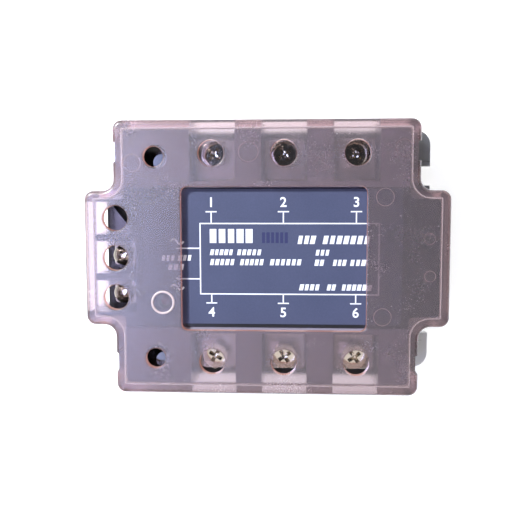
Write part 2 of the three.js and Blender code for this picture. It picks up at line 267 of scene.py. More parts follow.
def makeScratches():
    # two sets of thin crossing hairlines
    tree, given, out = shaderGroup("hairlines", {"Density": 260.0, "Thin": 0.62}, ("Mask",))
    layers = []
    for stretch in ((1, 0.06, 1), (0.05, 1, 1)):
        warped = put(tree, "ShaderNodeTexNoise", {"Vector": scaledPlace(tree, given["Density"], stretch),
                                                  "Scale": 6.0, "Detail": 1.0, "Distortion": 0.4})
        line = put(tree, "ShaderNodeMapRange", {0: warped.outputs[0], 1: given["Thin"], 2: 0.8})
        layers.append(line.outputs[0])
    tree.links.new(calc(tree, "MAXIMUM", *layers), out["Mask"])
    return tree


grain, rubbing, scratches = makeGrain(), makeRubbing(), makeScratches()


def useGroup(tree, group, **values):
    made = tree.nodes.new("ShaderNodeGroup")
    made.node_tree = group
    for key, value in values.items():
        made.inputs[key].default_value = value
    return made.outputs


def newFinish(name, plain):
    material = bpy.data.materials.new(name)
    material.use_nodes = True
    shader = material.node_tree.nodes["Principled BSDF"]
    for key, value in plain.items():
        shader.inputs[key].default_value = value
    return material, material.node_tree, shader


def blendColours(tree, mask, first, second):
    mixed = put(tree, "ShaderNodeMix", {0: mask}, data_type="RGBA")
    for socket, colour in ((mixed.inputs[6], first), (mixed.inputs[7], second)):
        if isinstance(colour, bpy.types.NodeSocket):
            tree.links.new(colour, socket)
        else:
            socket.default_value = (*colour, 1)
    return mixed.outputs[2]


def spread(tree, value, low, high):
    return put(tree, "ShaderNodeMapRange", {0: value, 1: 0.25, 2: 0.75, 3: low, 4: high}).outputs[0]


def rampOf(tree, value, stops, blend="LINEAR"):
    made = put(tree, "ShaderNodeValToRGB", {0: value})
    ramp = made.color_ramp
    ramp.interpolation = blend
    for i in (0, -1):
        ramp.elements[i].position = stops[i][0]
        ramp.elements[i].color = (*stops[i][1], 1)
    for position, colour in stops[1:-1]:
        ramp.elements.new(position).color = (*colour, 1)
    return made.outputs[0]


def surface(tree, shader, colour, rough, height, depth, strength=1.0):
    # what changes over a finish: colour, roughness, and relief of a depth in metres
    tree.links.new(colour, shader.inputs["Base Color"])
    tree.links.new(rough, shader.inputs["Roughness"])
    bump = put(tree, "ShaderNodeBump", {"Strength": strength, "Distance": depth, "Height": height})
    tree.links.new(bump.outputs[0], shader.inputs["Normal"])


def plasticFinish(name, dark, light, rough, grainScale, depth, edge=None, index=1.5):
    # moulded plastic: mottled colour, grained sheen, rubbed edges
    material, tree, shader = newFinish(name, {"Metallic": 0.0, "IOR": index})
    look = useGroup(tree, grain, Scale=grainScale, Drift=0.45)
    colour = blendColours(tree, look["Mottle"], dark, light)
    if edge:
        colour = blendColours(tree, useGroup(tree, rubbing, Scale=700.0, Reach=0.45)["Mask"], colour, edge)
    surface(tree, shader, colour, spread(tree, look["Mottle"], *rough), look["Height"], depth)
    return material


def metalFinish(name, dark, light, rough, grainScale, depth, scratched=0.4, edge=None):
    # plated metal: cloudy colour, hairlines that catch the light, brighter edges
    material, tree, shader = newFinish(name, {"Metallic": 1.0})
    look = useGroup(tree, grain, Scale=grainScale, Drift=0.6)
    lines = useGroup(tree, scratches, Density=300.0, Thin=0.6)["Mask"]
    colour = blendColours(tree, look["Mottle"], dark, light)
    if edge:
        colour = blendColours(tree, useGroup(tree, rubbing, Scale=1200.0, Reach=0.6)["Mask"], colour, edge)
    duller = calc(tree, "MULTIPLY_ADD", lines, scratched * 0.3, spread(tree, look["Mottle"], *rough))
    height = calc(tree, "MULTIPLY_ADD", lines, -scratched, look["Height"])
    surface(tree, shader, colour, duller, height, depth)
    return material


def axes(tree, kind="Object"):
    # x, y and z of an object's own place or normal, or of a direction in the world
    return put(tree, "ShaderNodeSeparateXYZ", {0: put(tree, "ShaderNodeTexCoord").outputs[kind]}).outputs


def aboveHeight(tree, z):
    # mask of everything over a height in metres
    return calc(tree, "GREATER_THAN", axes(tree)[2], z)


# the legs' darker red here is painted shade, and the walls' glow colour is painted light
coverFinish = {"tint": (0.64, 0.535, 0.54), "clear": 0.925, "frost": (0.2, 0.3), "index": 1.4, "sheen": 0.4,
               "depthTint": (0.66, 0.45, 0.47), "depthDensity": 75.0,
               "legTop": 0.0119, "paintedLegShade": (0.6, 0.25, 0.24), "paintedWallGlow": (0.3, 0.115, 0.075)}
# metres, centre and reach along each axis: where the cover's openings are, and what counts as upright, for
# the painted glow on the openings' walls
paintedGlowZone = {"tilt": (0.0, 0.6), "height": (0.0331, 0.001), "length": (0.0, 0.0335), "middle": (0.0, 0.0355),
            "ear": (-0.0415, 0.005), "earLength": (0.0, 0.016)}


def paintedGlowWalls(tree):
    # upright faces near the cover's top that belong to its window and holes, where a painted glow stands in
    # for the light the walls pipe
    x, y, z = axes(tree)
    level, height, length, middle, ear, earLength = [
        calc(tree, "COMPARE", value, *paintedGlowZone[zone])
        for value, zone in ((axes(tree, "Normal")[2], "tilt"), (z, "height"), (y, "length"), (x, "middle"),
                            (x, "ear"), (y, "earLength"))]
    around = calc(tree, "MAXIMUM", middle, times(tree, ear, earLength))
    for mask in (level, height, length):
        around = times(tree, around, mask)
    return around


def makeCoverFinish():
    # smoke-pink plastic, frosted by its moulding texture, darker and redder the deeper the light goes
    f = coverFinish
    material, tree, shader = newFinish("smokeCover", {"Metallic": 0.0, "IOR": f["index"],
                                                      "Transmission Weight": f["clear"], "Coat Weight": 0.8,
                                                      "Coat Roughness": f["sheen"]})
    look = useGroup(tree, grain, Scale=2600.0, Drift=0.5)
    tint = blendColours(tree, look["Mottle"], [c * 0.95 for c in f["tint"]], f["tint"])
    # painted shade: below legTop the base colour turns a darker red, standing in for light that has come up
    # through the long legs
    colour = blendColours(tree, aboveHeight(tree, f["legTop"]), f["paintedLegShade"], tint)
    surface(tree, shader, colour, spread(tree, look["Mottle"], *f["frost"]), look["Height"], 0.000006, 0.5)
    # painted glow: emission on the opening walls stands in for light piped through them
    glow = blendColours(tree, paintedGlowWalls(tree), (0, 0, 0), f["paintedWallGlow"])
    tree.links.new(glow, shader.inputs["Emission Color"])
    shader.inputs["Emission Strength"].default_value = 1.0
    soak = put(tree, "ShaderNodeVolumeAbsorption", {"Color": (*f["depthTint"], 1),
                                                    "Density": f["depthDensity"]})
    tree.links.new(soak.outputs[0], tree.nodes["Material Output"].inputs["Volume"])
    return material


def makePlateFinish():
    # rolled metal: fine lines along its length, grey clouds
    material, tree, shader = newFinish("rolledPlate", {"Metallic": 1.0})
    look = useGroup(tree, grain, Scale=1400.0, Drift=0.7)
    rolled = put(tree, "ShaderNodeTexNoise", {"Vector": scaledPlace(tree, 2200.0, (0.03, 1, 1)), "Scale": 1.0,
                                              "Detail": 3.0})
    edges = useGroup(tree, rubbing, Scale=800.0, Reach=0.6)["Mask"]
    colour = blendColours(tree, look["Mottle"], (0.62, 0.63, 0.65), (0.74, 0.75, 0.76))
    surface(tree, shader, blendColours(tree, edges, colour, (0.85, 0.85, 0.86)),
            spread(tree, rolled.outputs[0], 0.24, 0.42), rolled.outputs[0], 0.00001)
    return material


padBottom = 0.00402  # metres, the copper pads lie above it


def makeTileFinish():
    # white ceramic below, copper pads on top
    material, tree, shader = newFinish("ceramicTile", {})
    look = useGroup(tree, grain, Scale=3000.0, Drift=0.3)
    pads = aboveHeight(tree, padBottom)
    white = blendColours(tree, look["Mottle"], (0.74, 0.73, 0.69), (0.86, 0.85, 0.82))
    copper = blendColours(tree, look["Mottle"], (0.55, 0.26, 0.15), (0.72, 0.38, 0.24))
    tree.links.new(pads, shader.inputs["Metallic"])
    surface(tree, shader, blendColours(tree, pads, white, copper), spread(tree, look["Mottle"], 0.35, 0.6),
            look["Height"], 0.00001)
    return material


def makeBoardFinish():
    # green lacquer over raised copper tracks
    material, tree, shader = newFinish("boardLacquer", {"Metallic": 0.0, "Coat Weight": 0.3})
    tracks = put(tree, "ShaderNodeTexBrick", {
        "Vector": scaledPlace(tree, 1.0), "Color1": (0, 0, 0, 1), "Color2": (0.1, 0.1, 0.1, 1),
        "Mortar": (1, 1, 1, 1), "Scale": 170.0, "Mortar Size": 0.05, "Mortar Smooth": 0.2})
    look = useGroup(tree, grain, Scale=1800.0, Drift=0.4)
    base = blendColours(tree, look["Mottle"], (0.012, 0.085, 0.03), (0.02, 0.13, 0.045))
    surface(tree, shader, blendColours(tree, tracks.outputs[0], base, (0.05, 0.23, 0.08)),
            spread(tree, look["Mottle"], 0.25, 0.45), tracks.outputs[0], 0.00003)
    return material


# metres: the wells' floors lie above pocketTop, the top faces above faceBottom, the blocks beyond blockSide
housingZones = {"pocketTop": 0.0203, "faceBottom": 0.0307, "blockSide": 0.0196, "upwardTilt": 0.7}


def makeHousingFinish():
    # black plastic, glossy in the wells, paler and matt on top of the terminal blocks
    material, tree, shader = newFinish("blackHousing", {"Metallic": 0.0, "IOR": 1.5, "Coat Roughness": 0.12,
                                                        "Coat IOR": 1.65})
    look = useGroup(tree, grain, Scale=2400.0, Drift=0.45)
    z = housingZones
    upward = calc(tree, "GREATER_THAN", axes(tree, "Normal")[2], z["upwardTilt"])
    lifted, onTop = aboveHeight(tree, z["pocketTop"]), aboveHeight(tree, z["faceBottom"])
    floors = times(tree, upward, lifted)
    sunk = times(tree, floors, calc(tree, "SUBTRACT", 1.0, onTop))
    tree.links.new(sunk, shader.inputs["Coat Weight"])
    sideways = calc(tree, "ABSOLUTE", axes(tree)[1])
    matt = times(tree, calc(tree, "GREATER_THAN", sideways, z["blockSide"]), onTop)
    gloss = blendColours(tree, look["Mottle"], (0.011, 0.011, 0.014), (0.02, 0.02, 0.024))
    pale = blendColours(tree, look["Mottle"], (0.22, 0.2, 0.25), (0.31, 0.28, 0.34))
    colour = blendColours(tree, matt, gloss, pale)
    edges = useGroup(tree, rubbing, Scale=700.0, Reach=0.45)["Mask"]
    sheen = put(tree, "ShaderNodeMix", {0: matt, 2: spread(tree, look["Mottle"], 0.09, 0.17),
                                        3: spread(tree, look["Mottle"], 0.45, 0.6)})
    lowered = put(tree, "ShaderNodeMix", {0: lifted, 2: 0.6, 3: sheen.outputs[0]})
    surface(tree, shader, blendColours(tree, edges, colour, (0.05, 0.05, 0.06)), lowered.outputs[0],
            look["Height"], 0.000004)
    return material


resistorBody = (0.2, 0.38, 0.45)
# where each colour starts, from 0 at one end of the body to 1 at the other
resistorBands = ((0.0, resistorBody), (0.2, (0.2, 0.03, 0.01)), (0.28, resistorBody),
                 (0.4, (0.01, 0.01, 0.01)), (0.48, resistorBody), (0.6, (0.55, 0.1, 0.01)),
                 (0.68, resistorBody), (0.82, (0.5, 0.33, 0.06)), (0.9, resistorBody))
resistorEnds = (0.0055, 0.0145)  # metres along Y


def makeResistorFinish():
    # blue body with colour bands along its length
    material, tree, shader = newFinish("bandedResistor", {"Metallic": 0.0})
    along = put(tree, "ShaderNodeMapRange", {0: axes(tree)[1], 1: resistorEnds[0], 2: resistorEnds[1]})
    bands = rampOf(tree, along.outputs[0], resistorBands, "CONSTANT")
    look = useGroup(tree, grain, Scale=1500.0, Drift=0.4)
    surface(tree, shader, blendColours(tree, look["Mottle"], bands, (0.16, 0.2, 0.22)),
            spread(tree, look["Mottle"], 0.3, 0.5), look["Height"], 0.00002)
    return material


# dark and light colour, roughness from and to, grain, relief in metres, rubbed edges, refraction
plastics = {
    # painted highlight: an opaque pale finish for the bead and ejector rings, standing in for the light their
    # rims catch
    "paintedRingHighlight": ((0.5, 0.4, 0.4), (0.66, 0.53, 0.52), (0.3, 0.45), 1500.0, 0.000006),
    "blueLabel": ((0.042, 0.049, 0.088), (0.08, 0.09, 0.155), (0.42, 0.6), 2800.0, 0.000008, None, 1.28),
    "whiteInk": ((0.68, 0.7, 0.76), (0.86, 0.87, 0.9), (0.4, 0.55), 3000.0, 0.000006),
    "stampInk": ((0.008, 0.01, 0.06), (0.016, 0.02, 0.09), (0.4, 0.6), 3800.0, 0.000006),
    "blackEpoxy": ((0.012, 0.012, 0.013), (0.026, 0.026, 0.028), (0.35, 0.55), 2600.0, 0.00002,
                   (0.06, 0.06, 0.06)),
    "darkLens": ((0.09, 0.012, 0.012), (0.13, 0.02, 0.018), (0.08, 0.16), 900.0, 0.000004),
    "boxCapacitor": ((0.3, 0.06, 0.02), (0.42, 0.1, 0.04), (0.25, 0.45), 1100.0, 0.00002, (0.5, 0.2, 0.1)),
    "pottingResin": ((0.014, 0.013, 0.012), (0.03, 0.027, 0.024), (0.2, 0.5), 350.0, 0.0002),
}
# the same as far as relief, then how strong the hairlines are, and the rubbed edges
metals = {
    "brightScrew": ((0.66, 0.6, 0.52), (0.83, 0.77, 0.69), (0.06, 0.13), 1600.0, 0.000006, 0.3,
                    (0.92, 0.87, 0.8)),
    "washerSteel": ((0.55, 0.5, 0.44), (0.74, 0.68, 0.6), (0.22, 0.36), 1300.0, 0.000012, 0.5,
                    (0.85, 0.8, 0.73)),
    "tinnedCopper": ((0.6, 0.55, 0.5), (0.74, 0.69, 0.63), (0.26, 0.42), 1200.0, 0.000012, 0.5,
                     (0.72, 0.4, 0.26)),
    "greySilicon": ((0.1, 0.11, 0.14), (0.2, 0.21, 0.26), (0.12, 0.25), 900.0, 0.000004, 0.1),
}
finishes = {"smokeCover": makeCoverFinish(), "rolledPlate": makePlateFinish(),
            "ceramicTile": makeTileFinish(), "boardLacquer": makeBoardFinish(),
            "bandedResistor": makeResistorFinish(), "blackHousing": makeHousingFinish(),
            **{name: plasticFinish(name, *row) for name, row in plastics.items()},
            **{name: metalFinish(name, *row) for name, row in metals.items()}}
print("finishes made:", len(finishes))


def geometryTree(name, inputs):
    tree = bpy.data.node_groups.new(name, "GeometryNodeTree")
    tree.interface.new_socket(name="Geometry", in_out="OUTPUT", socket_type="NodeSocketGeometry")
    kinds = {int: "NodeSocketInt", float: "NodeSocketFloat", tuple: "NodeSocketVector",
             bpy.types.Material: "NodeSocketMaterial"}
    for label, value in inputs.items():
        socket = tree.interface.new_socket(name=label, in_out="INPUT", socket_type=kinds[type(value)])
        socket.default_value = value
    return tree, tree.nodes.new("NodeGroupInput").outputs, tree.nodes.new("NodeGroupOutput").inputs


def closeTree(tree, out, geometry, material):
    real = put(tree, "GeometryNodeRealizeInstances", {0: geometry})
    done = put(tree, "GeometryNodeSetMaterial", {"Geometry": real.outputs[0], "Material": material})
    tree.links.new(done.outputs[0], out["Geometry"])


def runTree(name, tree, values):
    # one plain mesh from a tree; inputs are set by their identifiers
    host = linkObject(name, bpy.data.meshes.new(name))
    step = host.modifiers.new("build", "NODES")
    step.node_group = tree
    for item in tree.interface.items_tree:
        if item.item_type == "SOCKET" and item.in_out == "INPUT" and item.name in values:
            step[item.identifier] = values[item.name]
    return freeze(host)


def vector(tree, x, y, z):
    return put(tree, "ShaderNodeCombineXYZ", {0: x, 1: y, 2: z}).outputs[0]


def upright(tree, z):
    return vector(tree, 0.0, 0.0, z)


def moved(tree, geometry, offset=(0, 0, 0), turn=(0, 0, 0), size=(1, 1, 1)):
    return put(tree, "GeometryNodeTransform", {"Geometry": geometry, "Translation": offset, "Rotation": turn,
                                               "Scale": size}).outputs[0]


def joined(tree, *parts):
    made = put(tree, "GeometryNodeJoinGeometry")
    for part in parts:
        tree.links.new(part, made.inputs[0])
    return made.outputs[0]


def combined(tree, operation, first, *others):
    # exact boolean of the first and the others, or of the others alone
    made = put(tree, "GeometryNodeMeshBoolean", operation=operation, solver="EXACT")
    if first:
        tree.links.new(first, made.inputs["Mesh 1"])
    for other in others:
        tree.links.new(other, made.inputs["Mesh 2"])
    return made.outputs[0]


def block(tree, x, y, z):
    return put(tree, "GeometryNodeMeshCube", {"Size": vector(tree, x, y, z)}).outputs[0]


def repeatShape(tree, given, out, step, shape, size=(1, 1, 1)):
    # the shape at each of Count steps from Start ends the tree
    row = put(tree, "GeometryNodeMeshLine", {"Count": given["Count"], "Start Location": given["Start"],
                                             "Offset": vector(tree, *step)})
    laid = put(tree, "GeometryNodeInstanceOnPoints", {"Points": row.outputs[0], "Instance": shape,
                                                      "Scale": size})
    closeTree(tree, out, laid.outputs[0], given["Material"])
    return tree


def crossRecess(tree, given, top):
    # two tapered wings that cross, as a driver tip leaves them
    tip = times(tree, given["Recess length"], 0.42)
    wing = put(tree, "GeometryNodeMeshCone", {"Vertices": 4, "Radius Top": given["Recess length"],
                                              "Radius Bottom": tip,
                                              "Depth": calc(tree, "ADD", given["Recess depth"], 0.4)})
    square = moved(tree, wing.outputs[0], turn=(0, 0, math.pi / 4), size=(math.sqrt(2),) * 2 + (1,))
    thin = moved(tree, square, size=(1, 0.27, 1))
    crossed = moved(tree, thin, turn=(0, 0, math.pi / 2))
    foot = calc(tree, "SUBTRACT", top, given["Recess depth"])
    return moved(tree, combined(tree, "UNION", None, thin, crossed), offset=upright(tree, foot),
                 turn=upright(tree, given["Recess turn"]))


def threadedShank(tree, given):
    # plain core with a right-hand thread swept round it, short of the head and of the tip
    intoHead, neck, tip = 0.3, 1.0, 0.6
    deep = times(tree, given["Pitch"], 0.5)
    coreRadius = calc(tree, "SUBTRACT", given["Shank radius"], deep)
    core = put(tree, "GeometryNodeMeshCylinder", {
        "Vertices": 32, "Radius": coreRadius, "Depth": calc(tree, "ADD", given["Shank length"], intoHead)})
    half = times(tree, given["Shank length"], -0.5)
    coreDown = moved(tree, core.outputs[0], offset=vector(
        tree, 0.0, 0.0, calc(tree, "ADD", half, intoHead / 2)))
    run = calc(tree, "SUBTRACT", given["Shank length"], neck + tip)
    spiral = put(tree, "GeometryNodeCurveSpiral", {
        "Resolution": 28, "Rotations": calc(tree, "DIVIDE", run, given["Pitch"]),
        "Start Radius": coreRadius, "End Radius": coreRadius, "Height": run})
    tooth = put(tree, "GeometryNodeCurvePrimitiveCircle", {"Resolution": 3,
                                                           "Radius": times(tree, deep, 0.98)})
    thread = put(tree, "GeometryNodeCurveToMesh", {"Curve": spiral.outputs[0], "Fill Caps": True,
                                                   "Profile Curve": tooth.outputs[0]})
    lowest = calc(tree, "ADD", times(tree, given["Shank length"], -1.0), tip)
    threadDown = moved(tree, thread.outputs[0], offset=upright(tree, lowest))
    return joined(tree, coreDown, threadDown)


def makeScrewTree(name, hexHead, defaults):
    # the head is a prism shared with a cone (hexagon) or a dome (pan), less the cross recess
    tree, given, out = geometryTree(name, defaults)
    sides = 6 if hexHead else 72
    prism = put(tree, "GeometryNodeMeshCylinder", {"Vertices": sides, "Radius": given["Head radius"],
                                                   "Depth": given["Head height"]})
    lift = upright(tree, times(tree, given["Head height"], 0.5))
    prismUp = moved(tree, prism.outputs[0], offset=lift)
    if hexHead:
        wide = calc(tree, "ADD", given["Crown radius"], times(tree, given["Head height"], 1.73))
        crown = put(tree, "GeometryNodeMeshCone", {
            "Vertices": 96, "Radius Top": given["Crown radius"], "Radius Bottom": wide,
            "Depth": given["Head height"]}).outputs[0]
    else:
        ball = put(tree, "GeometryNodeMeshUVSphere", {"Segments": 96, "Rings": 48, "Radius": 1.0})
        wide = given["Crown radius"]
        crown = moved(tree, ball.outputs[0], size=vector(tree, wide, wide, given["Head height"]))
    head = combined(tree, "INTERSECT", None, prismUp, crown)
    head = combined(tree, "DIFFERENCE", head, crossRecess(tree, given, given["Head height"]))
    whole = joined(tree, head, threadedShank(tree, given))
    turned = moved(tree, whole, offset=given["Place"], turn=upright(tree, given["Turn"]))
    closeTree(tree, out, turned, given["Material"])
    return tree


def makeMarkTree():
    # the label's terminal marks: a stem and a bar at each step along a row
    tree, given, out = geometryTree("terminalMarks", {
        "Count": 3, "Start": (0.0, 0.0, 0.0), "Pitch": 20.0, "Stem": 2.0, "Bar": 3.1, "Ink": 0.35,
        "Deep": 0.03, "Side": 1.0, "Material": finishes["whiteInk"]})
    reach = times(tree, given["Stem"], given["Side"])
    stem = moved(tree, block(tree, given["Ink"], given["Stem"], given["Deep"]),
                 offset=vector(tree, 0.0, times(tree, reach, 0.5), 0.0))
    bar = moved(tree, block(tree, given["Bar"], given["Ink"], given["Deep"]),
                offset=vector(tree, 0.0, reach, 0.0))
    return repeatShape(tree, given, out, (given["Pitch"], 0.0, 0.0), joined(tree, stem, bar))


def makeWordTree():
    # a row of plain slanted blocks standing in for words, each a little different in width
    tree, given, out = geometryTree("wordBlocks", {
        "Count": 8, "Start": (0.0, 0.0, 0.0), "Pitch": 1.2, "Wide": 0.8, "High": 1.7, "Slant": 0.22,
        "Deep": 0.03, "Uneven": 0.25, "Seed": 3, "Material": finishes["whiteInk"]})
    plain = block(tree, given["Wide"], given["High"], given["Deep"])
    where = put(tree, "GeometryNodeInputPosition").outputs[0]
    split = put(tree, "ShaderNodeSeparateXYZ", {0: where})
    lean = vector(tree, times(tree, split.outputs[1], given["Slant"]), 0.0, 0.0)
    slanted = put(tree, "GeometryNodeSetPosition", {"Geometry": plain, "Offset": lean}).outputs[0]
    low = calc(tree, "SUBTRACT", 1.0, given["Uneven"])
    width = put(tree, "FunctionNodeRandomValue", {2: low, 3: 1.0, "Seed": given["Seed"]}, data_type="FLOAT")
    size = vector(tree, width.outputs[1], 1.0, 1.0)
    return repeatShape(tree, given, out, (given["Pitch"], 0.0, 0.0), slanted, size)


def makeLegTree():
    # flat legs and solder joints of a part, stepping along Y on both of its sides
    tree, given, out = geometryTree("partLegs", {
        "Count": 3, "Start": (0.0, 0.0, 0.0), "Pitch": 2.54, "Apart": 7.4, "Wide": 0.6, "Tall": 1.6,
        "Material": finishes["tinnedCopper"]})
    thick = 0.25
    strip = block(tree, thick, given["Wide"], given["Tall"])
    joint = put(tree, "GeometryNodeMeshCone", {"Vertices": 16, "Radius Top": 0.2, "Radius Bottom": 0.62,
                                               "Depth": 0.45})
    tall = times(tree, given["Tall"], 0.5)
    leg = joined(tree, moved(tree, strip, offset=upright(tree, tall)), joint.outputs[0])
    asides = [times(tree, given["Apart"], share) for share in (0.5, -0.5)]
    pair = joined(tree, *[moved(tree, leg, offset=vector(tree, aside, 0.0, 0.0)) for aside in asides])
    return repeatShape(tree, given, out, (0.0, given["Pitch"], 0.0), pair)


cover = {"halfX": 42.15, "halfY": 38.1, "earX": 50.4, "earY": 18.8, "skirt": 12.0, "top": 34.0, "wall": 2.0,
         "convex": 2.6, "concave": 3.2, "round": 1.2, "innerRound": 0.8, "legEnd": 5.0,
         "window": (-23.4, 27.8, -20.1, 19.85), "windowCorner": 1.8, "powerHole": 3.55, "controlHole": 3.5,
         "cornerHole": (-30.8, 28.1, 2.8), "rim": 0.3,
         "mouthTop": 28.0, "powerMouth": 6.35, "controlMouth": (-15.4, 15.7),
         "notch": (29.4, 2.65, 0.85), "leg": 2.8, "bead": (-28.55, -12.26, 3.0, 0.32, 0.25)}
# shallow rings left by the ejector pins on the cover's inner face: x, y, radius
ejectorRings = ((-4.7, 29.3, 2.7), (32.7, 16.9, 2.4), (32.3, -16.2, 2.4), (37.6, 30.2, 2.3),
                (-37.0, 26.4, 2.4), (44.9, 5.5, 1.5), (45.1, -4.8, 1.5))


def arcRings(outlineAt, z0, z1, radius, steps):
    # an upright wall from z0, then a quarter round in to the face at z1
    rings = [(outlineAt(0.0), z0)]
    for k in range(steps + 1):
        a = math.pi / 2 * k / steps
        rings.append((outlineAt(radius * (1 - math.cos(a))), z1 - radius * (1 - math.sin(a))))
    return rings


def flaredHole(bm, outlineAt, low, top, rim):
    # cutter for an opening whose upper edge is rounded over by rim
    rings = [(outlineAt(0.0), low)]
    for k in range(5):
        a = math.pi / 2 * k / 4
        rings.append((outlineAt(-rim * (1 - math.cos(a))), top - rim * (1 - math.sin(a))))
    rings.append((outlineAt(-rim * 1.02), top + 1.0))
    addStack(bm, rings)


def makeCover():
    c = cover
    outer = eared(c["halfX"], c["halfY"], c["earX"], c["earY"])
    shell = bmesh.new()
    addStack(shell, arcRings(lambda d: roundedOutline(outer, c["convex"], c["concave"], d, 8),
                             c["skirt"], c["top"], c["round"], 6))
    piece = objectFrom(shell, "smoke_cover")
    # legs either side of each latch notch, run up into the skirt's wall
    legs = bmesh.new()
    y0, half, deep = c["notch"]
    legTop = c["skirt"] + 3
    for sx in (-1, 1):
        for sy in (-1, 1):
            for k in (-1, 1):
                ys = [sy * y0 + k * half, sy * y0 + k * (half + c["leg"])]
                addBox(legs, [sx * (c["halfX"] - c["wall"]), sx * c["halfX"]], ys, [c["legEnd"], legTop])
    carve(piece, objectFrom(legs, "legs"), "UNION")

    hollow = bmesh.new()
    addStack(hollow, arcRings(lambda d: roundedOutline(outer, c["convex"], c["concave"], c["wall"] + d, 8),
                              c["legEnd"] - 2, c["top"] - c["wall"], c["innerRound"], 4))
    carve(piece, objectFrom(hollow, "hollow"))

    cuts = bmesh.new()
    low, top, rim = c["top"] - c["wall"] - 1.5, c["top"], c["rim"]
    windowCorners = rectangle(*c["window"])
    flaredHole(cuts, lambda d: roundedOutline(windowCorners, c["windowCorner"], c["windowCorner"], d, 8),
               low, top, rim)
    holes = [(x, side * terminals["y"], c["powerHole"]) for x in terminals["x"] for side in (1, -1)]
    holes += [(controls["x"], y, c["controlHole"]) for y in (controls["spareY"], *controls["y"])]
    cx, cy, cr = c["cornerHole"]
    holes += [(cx, cy, cr), (cx, -cy, cr)]
    for x, y, r in holes:
        flaredHole(cuts, lambda d, x=x, y=y, r=r: circle(x, y, r - d, 56), low, top, rim)
    # latch notches down the sides, cable mouths in the skirt
    for sx in (-1, 1):
        for sy in (-1, 1):
            addBox(cuts, [sx * (c["halfX"] - deep), sx * (c["halfX"] + 2)],
                   [sy * y0 - half, sy * y0 + half], [c["legEnd"] - 2, top + 2])
    mouth = [c["skirt"] - 2, c["mouthTop"]]
    for x in terminals["x"]:
        for side in (1, -1):
            addBox(cuts, [x - c["powerMouth"], x + c["powerMouth"]],
                   [side * (c["halfY"] - c["wall"] - 1), side * (c["halfY"] + 2)], mouth)
    addBox(cuts, [-c["earX"] - 2, -c["earX"] + c["wall"] + 1], c["controlMouth"], mouth)
    carve(piece, objectFrom(cuts, "cuts"))

    softenEdges(piece, 0.14, 2, 50)
    place(piece, "cover_body", finishes["smokeCover"], ["cover"])

    # the raised bead over the light, and the ejector rings underneath, in a pale finish that is painted
    # highlight for the light their rims catch
    beads = bmesh.new()
    bx, by, br, bw, bh = c["bead"]
    arch = [(br + bw * math.cos(a), top + bh * math.sin(a)) for a in [math.pi * k / 8 for k in range(9)]]
    addTorus(beads, bx, by, [(br - bw, top - 0.1), (br + bw, top - 0.1), *arch])
    place(objectFrom(beads, "indicator_bead"), "cover_body", finishes["paintedRingHighlight"])
    rings = bmesh.new()
    under = c["top"] - c["wall"]
    for x, y, r in ejectorRings:
        addTorus(rings, x, y, [(r - 0.09, under + 0.05), (r - 0.07, under - 0.04), (r, under - 0.07),
                               (r + 0.07, under - 0.04), (r + 0.09, under + 0.05)], 48)
    place(objectFrom(rings, "ejector_rings"), "cover_body", finishes["paintedRingHighlight"])


makeCover()
print("cover made")


housing = {"edge": 0.22, "ribEnd": -48.0, "ribRound": 0.95, "groove": (19.6, 0.35, 0.3), "top": 31.0,
           "grooveX": (-40.6, 40.6)}


def makeHousing():
    h = housing
    piece = mergedCopy("terminal_housing", "housing")
    # rounded noses on the ribs between the control wells
    bm = bmesh.new()
    bm.from_mesh(piece.data)
    noses = [e for e in bm.edges if all(abs(v.co.x - h["ribEnd"]) < 0.05 for v in e.verts)
             and abs(e.verts[0].co.z - e.verts[1].co.z) > 5 and all(abs(v.co.y) < 15.9 for v in e.verts)]
    bmesh.ops.bevel(bm, geom=noses, offset=h["ribRound"], segments=6, affect="EDGES", profile=0.5)
    bm.to_mesh(piece.data)
    bm.free()
    # thin step lines across the top, between the label's field and the terminal blocks
    y, wide, deep = h["groove"]
    grooves = bmesh.new()
    for side in (1, -1):
        addBox(grooves, h["grooveX"], [side * y, side * (y + wide)], [h["top"] - deep, h["top"] + 1])
    carve(piece, objectFrom(grooves, "grooves"))
    softenEdges(piece, h["edge"], 2, 45)
    return place(piece, "base", finishes["blackHousing"], ["housing"])


makeHousing()
print("housing made")


labelPrint = {"face": 31.3, "ink": 0.03, "line": 0.35, "box": (-18.5, 31.4, -10.3, 9.8),
              "markX": -15.2, "markPitch": 20.1, "upperStem": 3.1, "lowerStem": 2.4, "bar": 3.1,
              "numeralHigh": 2.6, "upperNumeral": 15.4, "lowerNumeral": -15.4,
              "leads": (2.7, -5.9), "leadStart": -25.0, "waves": ((-24.8, 4.6), (-24.8, -8.2)),
              "waveWide": 3.6, "waveHigh": 0.75, "waveThick": 0.24, "sunk": 0.01, "digitShare": 0.69}
